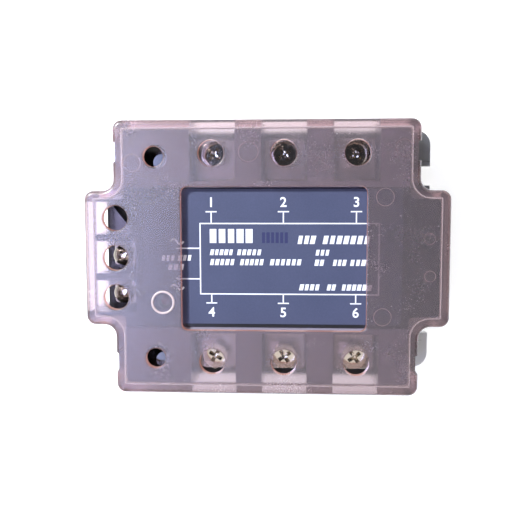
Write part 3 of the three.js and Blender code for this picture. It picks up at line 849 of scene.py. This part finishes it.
# word rows: x of the first block, y, how many, pitch, width, height, seed; slant and ink where not the usual
usualWords = (0.22, "whiteInk")
wordRows = (
    (-14.7, 6.15, 5, 2.52, 2.2, 3.9, 1, 0.0, "whiteInk"),
    (-0.6, 5.7, 6, 1.26, 0.95, 3.0, 5, 0.0, "stampInk"),
    (9.6, 5.1, 3, 1.75, 1.35, 2.3, 8), (16.6, 5.1, 7, 1.9, 1.4, 2.3, 11),
    (-15.0, 1.6, 5, 1.32, 1.05, 1.6, 13), (-7.4, 1.6, 5, 1.4, 1.1, 1.6, 17),
    (14.4, 1.55, 3, 1.35, 1.0, 1.6, 19), (-15.0, -1.15, 5, 1.42, 1.1, 1.7, 23),
    (-6.6, -1.15, 5, 1.36, 1.05, 1.7, 29), (1.8, -1.15, 6, 1.5, 1.2, 1.7, 31),
    (14.2, -1.25, 2, 1.4, 1.1, 1.7, 37), (19.2, -1.25, 3, 1.3, 1.0, 1.7, 41),
    (24.0, -1.25, 3, 1.55, 1.2, 1.7, 43), (10.0, -8.15, 4, 1.45, 1.15, 1.7, 47),
    (17.6, -8.15, 2, 1.3, 1.0, 1.7, 53), (21.7, -8.15, 6, 1.42, 1.15, 1.7, 59),
    (-28.6, 0.0, 3, 1.3, 1.0, 1.6, 61), (-24.0, 0.0, 3, 1.3, 1.0, 1.6, 67),
    (-26.7, -2.55, 3, 1.55, 1.2, 1.6, 71),
)


def inkLine(bm, xs, ys):
    p = labelPrint
    addBox(bm, xs, ys, [p["face"] - p["sunk"], p["face"] + p["ink"]])


def numeral(text, x, y, high):
    # a plain numeral, centred, as a flat mesh with its own thickness
    curve = bpy.data.curves.new("numeral", "FONT")
    curve.body = text
    curve.align_x = "CENTER"
    curve.align_y = "CENTER"
    curve.extrude = (labelPrint["ink"] + labelPrint["sunk"]) / 2
    curve.offset = 0.018
    holder = linkObject("numeral", curve)
    mesh = evaluated(holder)
    bpy.data.objects.remove(holder)
    size = high / labelPrint["digitShare"]
    mesh.transform(Matrix.Diagonal((size, size, 1, 1)))
    centre = labelPrint["face"] + (labelPrint["ink"] - labelPrint["sunk"]) / 2
    mesh.transform(Matrix.Translation((x, y, centre)))
    bm = bmesh.new()
    bm.from_mesh(mesh)
    bmesh.ops.remove_doubles(bm, verts=bm.verts, dist=0.0005)  # the sides and faces of a letter come apart
    bm.to_mesh(mesh)
    bm.free()
    return mesh


def waveMark(bm, x, y, wide):
    # one period of a sine, drawn as a flat stroke
    p = labelPrint
    steps, half, thick, rise = 20, wide / 2, p["waveThick"], p["waveHigh"]
    upper, lower = [], []
    for k in range(steps + 1):
        t = k / steps
        spot = Vector((x - half + wide * t, y + rise * math.sin(2 * math.pi * t)))
        slope = Vector((wide, rise * 2 * math.pi * math.cos(2 * math.pi * t))).normalized()
        side = Vector((-slope.y, slope.x)) * thick
        upper.append(spot + side)
        lower.append(spot - side)
    outline = lower + upper[::-1]
    addStack(bm, [(outline, p["face"] - p["sunk"]), (outline, p["face"] + p["ink"])])


def joinPieces(name, parts):
    bm = bmesh.new()
    for part in parts:
        bm.from_mesh(part.data)
        bpy.data.objects.remove(part)
    return plainObject(bm, name)


def makeLabel():
    p = labelPrint
    panel = softenEdges(mergedCopy("label_film", "label_panel"), 0.08, 2, 50)
    place(panel, "base", finishes["blueLabel"], ["label_panel"])

    lines = bmesh.new()
    x0, x1, y0, y1 = p["box"]
    w = p["line"]
    inkLine(lines, (x0, x1), (y1 - w, y1))
    inkLine(lines, (x0, x1), (y0, y0 + w))
    inkLine(lines, (x0, x0 + w), (y0 + w, y1 - w))
    inkLine(lines, (x1 - w, x1), (y0 + w, y1 - w))
    for y in p["leads"]:
        inkLine(lines, (p["leadStart"], x0), (y - w / 2, y + w / 2))
    for x, y in p["waves"]:
        waveMark(lines, x, y, p["waveWide"])
    for i in range(3):
        for text, y in ((str(i + 1), p["upperNumeral"]), (str(i + 4), p["lowerNumeral"])):
            mesh = numeral(text, p["markX"] + i * p["markPitch"], y, p["numeralHigh"])
            lines.from_mesh(mesh)
    white = [objectFrom(lines, "print_lines")]
    markTree = makeMarkTree()
    middle = p["face"] + p["ink"] / 2 - 0.005
    for y, stem, side in ((y1, p["upperStem"], 1.0), (y0, p["lowerStem"], -1.0)):
        white.append(runTree("marks", markTree, {
            "Start": (p["markX"], y, middle), "Pitch": p["markPitch"], "Stem": stem, "Bar": p["bar"],
            "Ink": w, "Deep": p["ink"] + p["sunk"], "Side": side, "Material": finishes["whiteInk"]}))
    wordTree = makeWordTree()
    stamped = []
    for x, y, count, pitch, wide, high, seed, *other in wordRows:
        slant, ink = other or usualWords
        row = runTree("words", wordTree, {
            "Count": count, "Start": (x, y, middle), "Pitch": pitch, "Wide": wide, "High": high,
            "Slant": slant, "Deep": p["ink"] + p["sunk"], "Uneven": 0.22, "Seed": seed,
            "Material": finishes[ink]})
        (white if ink == "whiteInk" else stamped).append(row)
    place(joinPieces("label_print", white), "base", finishes["whiteInk"], smooth=30)
    place(joinPieces("label_stamp", stamped), "base", finishes["stampInk"], smooth=30)


makeLabel()
print("label made")


powerScrew = {"Head radius": 7 / math.sqrt(3), "Head height": 3.4, "Crown radius": 3.42, "Shank radius": 2.0,
              "Shank length": 8.6, "Pitch": 0.7, "Recess length": 2.25, "Recess depth": 1.9,
              "Recess turn": math.radians(34)}
controlScrew = {"Head radius": 3.0, "Head height": 2.4, "Crown radius": 3.75, "Shank radius": 1.7,
                "Shank length": 6.6, "Pitch": 0.6, "Recess length": 1.75, "Recess depth": 1.7,
                "Recess turn": 0.0}


def makeScrews():
    shared = {"Place": (0.0, 0.0, 0.0), "Turn": 0.0, "Material": finishes["brightScrew"]}
    hexTree = makeScrewTree("hexScrew", True, {**powerScrew, **shared})
    panTree = makeScrewTree("panScrew", False, {**controlScrew, **shared})
    rows = [(f"{row}_screw", i, x, side * terminals["y"], terminals["washerTop"], terminals["turns"][row][i],
             hexTree, powerScrew)
            for row, side in (("line", 1), ("load", -1)) for i, x in enumerate(terminals["x"])]
    rows += [("control_screw", i, controls["x"], y, controls["washerTop"], controls["turns"][i], panTree,
              controlScrew) for i, y in enumerate(controls["y"])]
    for row, i, x, y, z, turn, tree, sizes in rows:
        piece = runTree(f"{row}_bright_{i + 1}", tree, {
            **sizes, "Place": (x, y, z), "Turn": math.radians(turn), "Material": finishes["brightScrew"]})
        softenEdges(piece, 0.07, 2, 35)
        place(piece, f"{row}_body_{i + 1}", finishes["brightScrew"], [f"{row}_{i + 1}"],
              smooth=35)


makeScrews()
print("screws made")


# edge radius, finish, material slot, and the families of nodes that take them
kept = (
    (0.3, "rolledPlate", "base_plate", ["base_plate"]),
    (0.2, "tinnedCopper", "plated_copper", ["line_terminal", "load_terminal"]),
    (0.15, "tinnedCopper", "plated_copper", ["control_terminal"]),
    (0.18, "washerSteel", "plated_steel", ["line_clamp", "load_clamp"]),
    (0.15, "washerSteel", "plated_steel", ["control_clamp"]),
    (0.06, "ceramicTile", "ceramic", ["ceramic_tile"]),
    (0.08, "greySilicon", "silicon", ["triac_chip"]),
    (0.06, "brightScrew", "plated_steel", ["gate_pin"]),
    (0.25, "blackEpoxy", "chip_black", ["optocoupler"]),
    (0.25, "blackEpoxy", "chip_black", ["bridge_rectifier"]),
    (0.08, "boardLacquer", "board", ["control_board"]),
    (0.5, "boxCapacitor", "capacitor", ["dropper_capacitor"]),
    (0.45, "bandedResistor", "resistor", ["dropper_resistor"]),
    (0.1, "darkLens", "led", ["indicator_led"]),
    (0.3, "pottingResin", "potting", ["potting"]),
)


def makeKept():
    bodies = frame["record"]["behaviour"]["bodies"]
    bodyOf = {node: body for body, members in bodies.items() for node in members}
    for edge, finish, slot, families in kept:
        for node in sorted(n for n in nodes if n in families or n.rsplit("_", 1)[0] in families):
            piece = softenEdges(mergedCopy(f"{node}_soft", node), edge, 2, 40)
            place(piece, bodyOf[node], finishes[finish], [node])


makeKept()


# legs and solder joints of the parts on the board: x, y of the first leg, how many, pitch, apart
boardLegs = {"top": 25.6, "raised": 0.2, "tall": 1.5,
             "rows": [(x - 1.2, -8.5, 3, 2.54, 7.9) for x in terminals["x"]] + [(-24.9, -1.9, 2, 3.8, 8.7)]}


def makeLegs():
    tree = makeLegTree()
    tinned, z = finishes["tinnedCopper"], boardLegs["top"] + boardLegs["raised"]
    parts = [runTree("legs", tree, {"Count": count, "Start": (x, y, z), "Pitch": pitch, "Apart": apart,
                                    "Tall": boardLegs["tall"], "Material": tinned})
             for x, y, count, pitch, apart in boardLegs["rows"]]
    place(joinPieces("board_part_legs", parts), "base", tinned)


makeLegs()
print("inner parts made")


studioFloor = {"half": 1200, "under": 6, "gap": 0.02, "glow": 0.8}


def makeFloor():
    bm = bmesh.new()
    reach = [-studioFloor["half"], studioFloor["half"]]
    addBox(bm, reach, reach, [-studioFloor["under"], -studioFloor["gap"]])
    floor = objectFrom(bm, "studio_floor")
    floor.data.transform(Matrix.Scale(mm, 4))
    material, tree, shader = newFinish("paleFloor", {
        "Roughness": 0.6, "Emission Strength": studioFloor["glow"], "Emission Color": (1, 1, 1, 1)})
    look = useGroup(tree, grain, Scale=400.0, Drift=0.5)
    tree.links.new(blendColours(tree, look["Mottle"], (0.6, 0.6, 0.6), (0.64, 0.64, 0.64)),
                   shader.inputs["Base Color"])
    floor.data.materials.append(material)


# lights: where they stand and their size, in metres, then watts and colour
lights = {"keyBox": ((-0.36, 0.30, 0.52), (0.09, 0.09), 8.5, (0.9, 0.94, 1.0))}
# soft boxes drawn in the world: reach along x and y of the direction, soft edge, brightness
worldBoxes = (((-0.5, 0.42), (-0.6, -0.16), 0.05, (0.95, 0.9, 0.88)),
              ((-0.42, -0.172), (-0.3, 0.12), 0.02, (3.4, 3.7, 6.2)),
              ((-0.46, -0.212), (-0.25, 0.1), 0.015, (6.0, 7.0, 12.0)))
boxesAbove = 0.5  # the direction's height that they start at
# the sky's brightness from the horizon (0) up towards straight overhead (1)
skyBands = ((0.0, (0.95, 0.95, 0.96)), (0.35, (0.42, 0.42, 0.43)), (0.52, (0.6, 0.58, 0.55)),
            (0.64, (0.1, 0.1, 0.11)), (0.93, (0.03, 0.03, 0.035)))


def makeLights():
    middle = Vector((0, 0, 0.02))
    for name, (spot, size, power, colour) in lights.items():
        lamp = bpy.data.lights.new(name, "AREA")
        lamp.shape = "RECTANGLE"
        lamp.size, lamp.size_y = size
        lamp.energy = power
        lamp.color = colour
        aim = (middle - Vector(spot)).to_track_quat("-Z", "Y").to_matrix().to_4x4()
        linkObject(name, lamp).matrix_world = Matrix.Translation(spot) @ aim


def softBand(tree, value, ends, edge):
    up = put(tree, "ShaderNodeMapRange", {0: value, 1: ends[0], 2: ends[0] + edge},
             interpolation_type="SMOOTHSTEP")
    down = put(tree, "ShaderNodeMapRange", {0: value, 1: ends[1] - edge, 2: ends[1], 3: 1.0, 4: 0.0},
               interpolation_type="SMOOTHSTEP")
    return times(tree, up.outputs[0], down.outputs[0])


def makeWorld():
    # pale at the horizon, dim overhead where the camera stands, with the soft boxes laid over
    world = bpy.data.worlds.new("studio")
    world.use_nodes = True
    tree = world.node_tree
    x, y, z = axes(tree, "Generated")
    sky = rampOf(tree, z, skyBands)
    for xs, ys, edge, colour in worldBoxes:
        mask = times(tree, softBand(tree, x, xs, edge), softBand(tree, y, ys, edge))
        mask = times(tree, mask, calc(tree, "GREATER_THAN", z, boxesAbove))
        sky = blendColours(tree, mask, sky, colour)
    tree.links.new(sky, tree.nodes["Background"].inputs[0])
    bpy.context.scene.world = world


# where it stands (metres), which way it looks and what is up for it, lens and sensor in millimetres
camera = {"spot": (0.0104, 0.0189, 0.2377), "look": (-0.0578, -0.0936, -0.9939),
          "up": (-0.0032, 0.9956, -0.0936), "lens": 51.6, "sensor": 36, "nearest": 0.01}


def makeCamera():
    lens = bpy.data.cameras.new("studioCamera")
    lens.lens = camera["lens"]
    lens.sensor_width = camera["sensor"]
    lens.clip_start = camera["nearest"]
    look = Vector(camera["look"]).normalized()
    right = look.cross(Vector(camera["up"])).normalized()
    up = right.cross(look).normalized()
    turn = Matrix((right, up, -look)).transposed().to_4x4()
    holder = linkObject("studioCamera", lens)
    holder.matrix_world = Matrix.Translation(camera["spot"]) @ turn
    bpy.context.scene.camera = holder


makeFloor()
makeLights()
makeWorld()
makeCamera()
bpy.context.scene.view_settings.view_transform = "Standard"
print("studio made")
